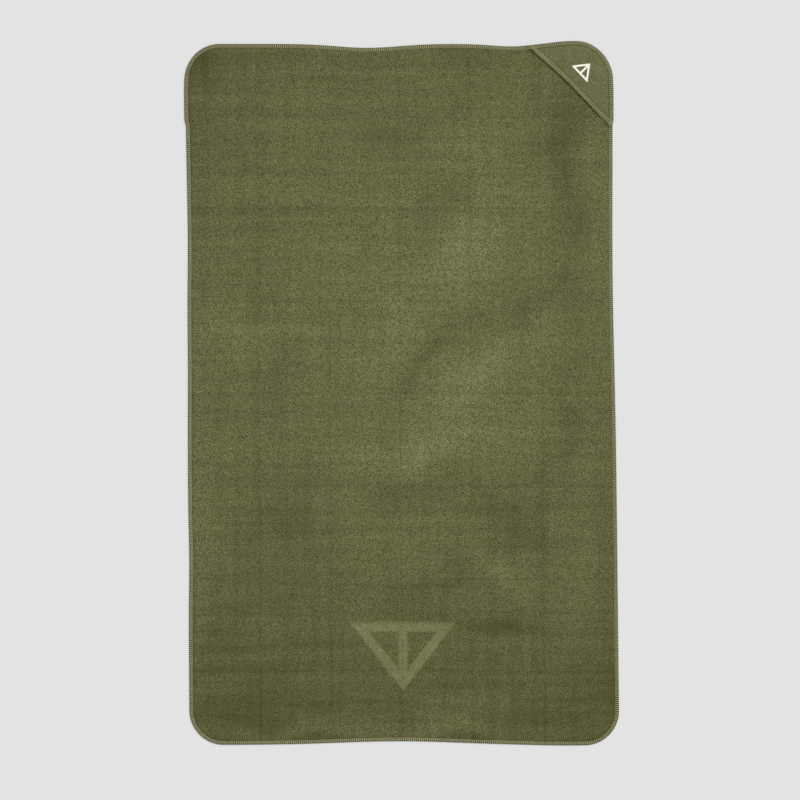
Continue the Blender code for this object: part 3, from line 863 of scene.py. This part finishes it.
MOUTH_STITCH = 2.77 * MM
MOUTH_STITCHES = 58


def mouth_path(shape, side, levels):
    """Path of a mouth thread: along the mouth, in toward the corner, and at a height off the hem's middle.

    The mouth's middle is half a leg from both rims. Along runs from the side edge to the end edge. Where the
    thread passes the cut edge, its height is still taken from the cloth just inside it.
    """
    stitch = stitch_path(MOUTH_STITCHES, MOUTH_STITCH, shape)
    along = (stitch[:, 0] - MOUTH_STITCHES / 2 * MOUTH_STITCH) / ROOT_TWO
    mouth = stitch[:, 1] / ROOT_TWO
    x = HALF_WIDTH - POCKET_LEG / 2 - along + mouth
    y = HALF_LENGTH - POCKET_LEG / 2 + along + mouth
    short = np.maximum(0.3 * MM - stitch[:, 1], 0) / ROOT_TWO
    low, high = levels(side * (x + short), y + short)
    return laid(side * x, y, (low + high) / 2 + side * stitch[:, 2])


MOUTH_UPPER = there_and_back([
    (0.00, 4.55 * MM, 0.20 * MM), (0.08, 3.70 * MM, 0.34 * MM), (0.10, 2.20 * MM, 0.36 * MM),
    (0.13, 0.40 * MM, 0.30 * MM), (0.28, -0.10 * MM, 0.10 * MM), (0.50, -0.22 * MM, 0.00 * MM),
])
MOUTH_LOWER = [(share + 0.5, inset, -0.9 * height) for share, inset, height in MOUTH_UPPER]
MOUTH_NEEDLE = [
    (0.08, HEM_NEEDLE, 0.16 * MM), (0.30, HEM_NEEDLE, 0.34 * MM), (0.70, HEM_NEEDLE, 0.34 * MM),
    (0.92, HEM_NEEDLE, 0.16 * MM), (1.00, HEM_NEEDLE, -0.20 * MM),
]
for pocket, side, levels in (("front", 1, front_patch_levels), ("back", -1, back_patch_levels)):
    slant = np.array([side, 1, 0]) / ROOT_TWO
    for kind, shape, reference in (
        ("upper_looper", MOUTH_UPPER, UP),
        ("lower_looper", MOUTH_LOWER, UP),
        ("needle_thread", MOUTH_NEEDLE, slant),
    ):
        thread = thread_tube(f"{pocket}_mouth_{kind}", mouth_path(shape, side, levels), reference,
                             0.23 * MM, 0.17 * MM, closed=False)
        thread.data.materials.append(overlock_thread)
        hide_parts(f"{pocket}_pocket_mouth_{kind}")
        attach(thread, "far_half")


# ------------------------------------------------------------------------------------
# Pocket mark: a small tent in pale heat-transfer film, pressed on the middle of the front pocket with its
# peak into the corner. It takes the patch's shape.
# ------------------------------------------------------------------------------------

MARK_SIZE = (32 * MM, 22 * MM, 2.8 * MM)
FILM = 0.16 * MM
FILM_WHITE = (0.90, 0.90, 0.76)
mark_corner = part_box("front_pocket_mark")[1]  # the peak, half a height from the centre along the diagonal
MARK_CENTRE = [place - MARK_SIZE[1] / 2 / ROOT_TWO for place in mark_corner.xy]


def dotted(corners, pitch):
    """Points along a closed outline, evenly spaced on each side."""
    corners = np.array(corners, float)
    sides = zip(corners, np.roll(corners, -1, 0), strict=True)
    runs = []
    for start, end in sides:
        steps = max(1, round(float(np.linalg.norm(end - start)) / pitch))
        runs.append(start + (end - start) * (np.arange(steps) / steps)[:, None])
    return np.concatenate(runs)


def film_mark():
    """The tent's outline and its two openings, filled in the plane and then dropped onto the patch."""
    width, height, stroke = MARK_SIZE
    half, pole = width / 2, stroke / 2
    slope = math.hypot(half, height)
    foot = half - stroke * (slope + half) / height
    peak = (height * (half - pole) - stroke * slope) / half
    outline = [(-half, 0), (half, 0), (0, height)]
    openings = [
        [(-foot, stroke), (-pole, peak), (-pole, stroke)],
        [(foot, stroke), (pole, stroke), (pole, peak)],
    ]
    loops = [dotted(loop, 1 * MM) - (0, height / 2) for loop in [outline, *openings]]
    plan = np.concatenate(loops)
    triangles = np.array(tessellate_polygon([[(*point, 0) for point in loop] for loop in loops]))
    a, b, c = (plan[triangles[:, i]] for i in range(3))
    doubled_area = (b - a)[:, 0] * (c - a)[:, 1] - (b - a)[:, 1] * (c - a)[:, 0]
    turned = doubled_area < 0
    triangles[turned] = triangles[turned][:, ::-1]
    triangles = triangles[np.abs(doubled_area) > 1e-12]
    turn = -math.pi / 4
    x = MARK_CENTRE[0] + plan[:, 0] * math.cos(turn) - plan[:, 1] * math.sin(turn)
    y = MARK_CENTRE[1] + plan[:, 0] * math.sin(turn) + plan[:, 1] * math.cos(turn)
    top = front_patch_levels(x, y)[1] + 0.02 * MM
    count = len(plan)
    walls, start = [], 0
    for loop in loops:
        walls.append(wall_faces(start + np.arange(len(loop)), count))
        start += len(loop)
    both_x, both_y, z = two_faced(x, y, top, top + FILM)
    faces = [*triangles.tolist(), *(triangles[:, ::-1] + count).tolist()]
    return make_piece("front_pocket_film_mark", laid(both_x, both_y, z), np.concatenate(walls), faces,
                      smooth=False, flat_place=np.stack([both_x, both_y, z], -1))


def film_material():
    """Matt film that shows the cloth's grain through it as a faint relief."""
    material, tree, shader = start_material("transfer_film")
    place = stored(tree, "flat_place", "Vector")
    grain = noise(tree, place, (1, 1, 1), 900, detail=2)
    dirt = noise(tree, place, (1, 1, 1), 120, detail=2)
    factor = calc(tree, "MULTIPLY_ADD", dirt, 0.08, calc(tree, "MULTIPLY_ADD", grain, 0.1, 1.0))
    tree.links.new(scaled(tree, FILM_WHITE, factor), shader.inputs["Base Color"])
    give_relief(tree, shader, grain, 0.08 * MM)
    set_values(shader, {"Roughness": 0.5})
    return material


film = film_mark()
film.data.materials.append(film_material())
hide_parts("front_pocket_mark")
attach(film, "far_half")


# ------------------------------------------------------------------------------------
# Care label: a blank woven satin tape, sewn flat on the back near the near edge with one row of running
# stitches round it.
# ------------------------------------------------------------------------------------

LABEL_WHITE = (0.75, 0.75, 0.72)
PICK_PITCH = 0.3 * MM
RUNNING_STITCH = 5  # points of the thread in one stitch
label_low, label_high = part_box("care_label")
stitch_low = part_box("care_label_stitching")[0]


def label_place(u, v):
    """Plan point on the label: u and v run from -1 to 1 across its width and its length."""
    return LABEL_CENTRE[0] + u * LABEL_SIZE[0] / 2, LABEL_CENTRE[1] + v * LABEL_SIZE[1] / 2


def label_mesh():
    """Thin closed tape with a faint cockle between its stitched edges."""
    u, v = np.meshgrid(np.linspace(-1, 1, 46), np.linspace(-1, 1, 26))
    x, y = label_place(u, v)
    inside = (1 - u ** 2) * (1 - v ** 2)
    low = label_low.z - 0.03 * MM * inside * (1 + np.sin(5 * u + 2 * v))
    high = low + (label_high.z - label_low.z) * 0.8
    both_x, both_y, z = two_faced(x, y, low, high)
    return make_piece("care_label_tape", laid(both_x, both_y, z), shell_faces(*x.shape),
                      flat_place=np.stack([both_x, both_y, z], -1))


def label_material():
    """Satin: floats of the warp across the tape, with fine rows between them."""
    material, tree, shader = start_material("label_satin")
    place = stored(tree, "flat_place", "Vector")
    split = node(tree, "SeparateXYZ", {0: place}).outputs
    picks = calc(tree, "SINE", calc(tree, "MULTIPLY", split["Y"], 2 * math.pi / PICK_PITCH))
    floats = noise(tree, place, (0.2, 1, 1), 2400, detail=2)
    height = calc(tree, "MULTIPLY_ADD", picks, 0.3, floats)
    factor = calc(tree, "MULTIPLY_ADD", height, 0.12, 1.0)
    tree.links.new(scaled(tree, LABEL_WHITE, factor), shader.inputs["Base Color"])
    give_relief(tree, shader, height, 0.04 * MM, 0.7)
    set_values(shader, {"Roughness": 0.38, "Sheen Weight": 0.2})
    return material


label = label_mesh()
label.data.materials.append(label_material())
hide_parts("care_label")
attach(label, "near_half")


def label_stitching():
    """Running stitch round the label: on each side the thread is a chain of short arches into the tape."""
    inset = 1.5 * MM
    half = np.array([LABEL_SIZE[0] / 2 - inset, LABEL_SIZE[1] / 2 - inset])
    corners = np.array([(-1, -1), (1, -1), (1, 1), (-1, 1)]) * half
    run = dotted(corners, 0.5 * MM)
    into_tape = np.arange(len(run)) % RUNNING_STITCH == 0
    height = np.where(into_tape, label_low.z + 0.12 * MM, stitch_low.z + 0.14 * MM)
    x, y = LABEL_CENTRE[0] + run[:, 0], LABEL_CENTRE[1] + run[:, 1]
    return thread_tube("care_label_thread", laid(x, y, height), UP, 0.17 * MM, 0.12 * MM)


label_thread = label_stitching()
label_thread.data.materials.append(overlock_thread)
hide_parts("care_label_stitching")
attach(label_thread, "near_half")


# ------------------------------------------------------------------------------------
# Studio: a plain pale floor, lit a little from within and clear from below, under soft even light, with one
# broad lamp from the upper right, and a long lens straight above the towel.
# ------------------------------------------------------------------------------------

floor_mesh = bpy.data.meshes.new("studio_floor")
FLOOR_HALF = 12.0
floor_corners = [(x * FLOOR_HALF, y * FLOOR_HALF, 0) for x, y in ((-1, -1), (1, -1), (1, 1), (-1, 1))]
floor_mesh.from_pydata(floor_corners, [], [(0, 1, 2, 3)])
floor = bpy.data.objects.new("studio_floor", floor_mesh)
floor.location.z = -0.1 * MM
bpy.context.scene.collection.objects.link(floor)
floor_material, floor_tree, floor_shader = start_material("pale_floor")
set_values(floor_shader, {
    "Base Color": (0.3, 0.3, 0.3, 1), "Emission Color": (1, 1, 1, 1), "Emission Strength": 0.47,
    "Roughness": 1.0, "Specular IOR Level": 0.0,
})
from_below = node(floor_tree, "NewGeometry").outputs["Backfacing"]
floor_tree.links.new(calc(floor_tree, "SUBTRACT", 1.0, from_below), floor_shader.inputs["Alpha"])
floor.data.materials.append(floor_material)

world = bpy.data.worlds.new("studio_air")
bpy.context.scene.world = world
world.use_nodes = True
set_values(world.node_tree.nodes["Background"], {"Color": (1, 1, 1, 1), "Strength": 0.55})

lamp = bpy.data.lights.new("broad_lamp", "SUN")
LAMP_TILT = math.radians(50)
lamp.energy = 0.45 * math.pi / math.cos(LAMP_TILT)
lamp.angle = math.radians(16)
lamp_object = bpy.data.objects.new("broad_lamp", lamp)
lamp_object.rotation_euler = (LAMP_TILT, 0, math.radians(135))
bpy.context.scene.collection.objects.link(lamp_object)

camera = bpy.data.cameras.new("camera")
camera.lens, camera.sensor_width = 200, 36
camera_object = bpy.data.objects.new("camera", camera)
VIEW_WIDTH = 1.14
camera_object.location = (-1.4 * MM, -8.6 * MM, VIEW_WIDTH * camera.lens / camera.sensor_width)
camera.clip_end = 100
bpy.context.scene.collection.objects.link(camera_object)
bpy.context.scene.camera = camera_object
bpy.context.scene.view_settings.view_transform = "Standard"
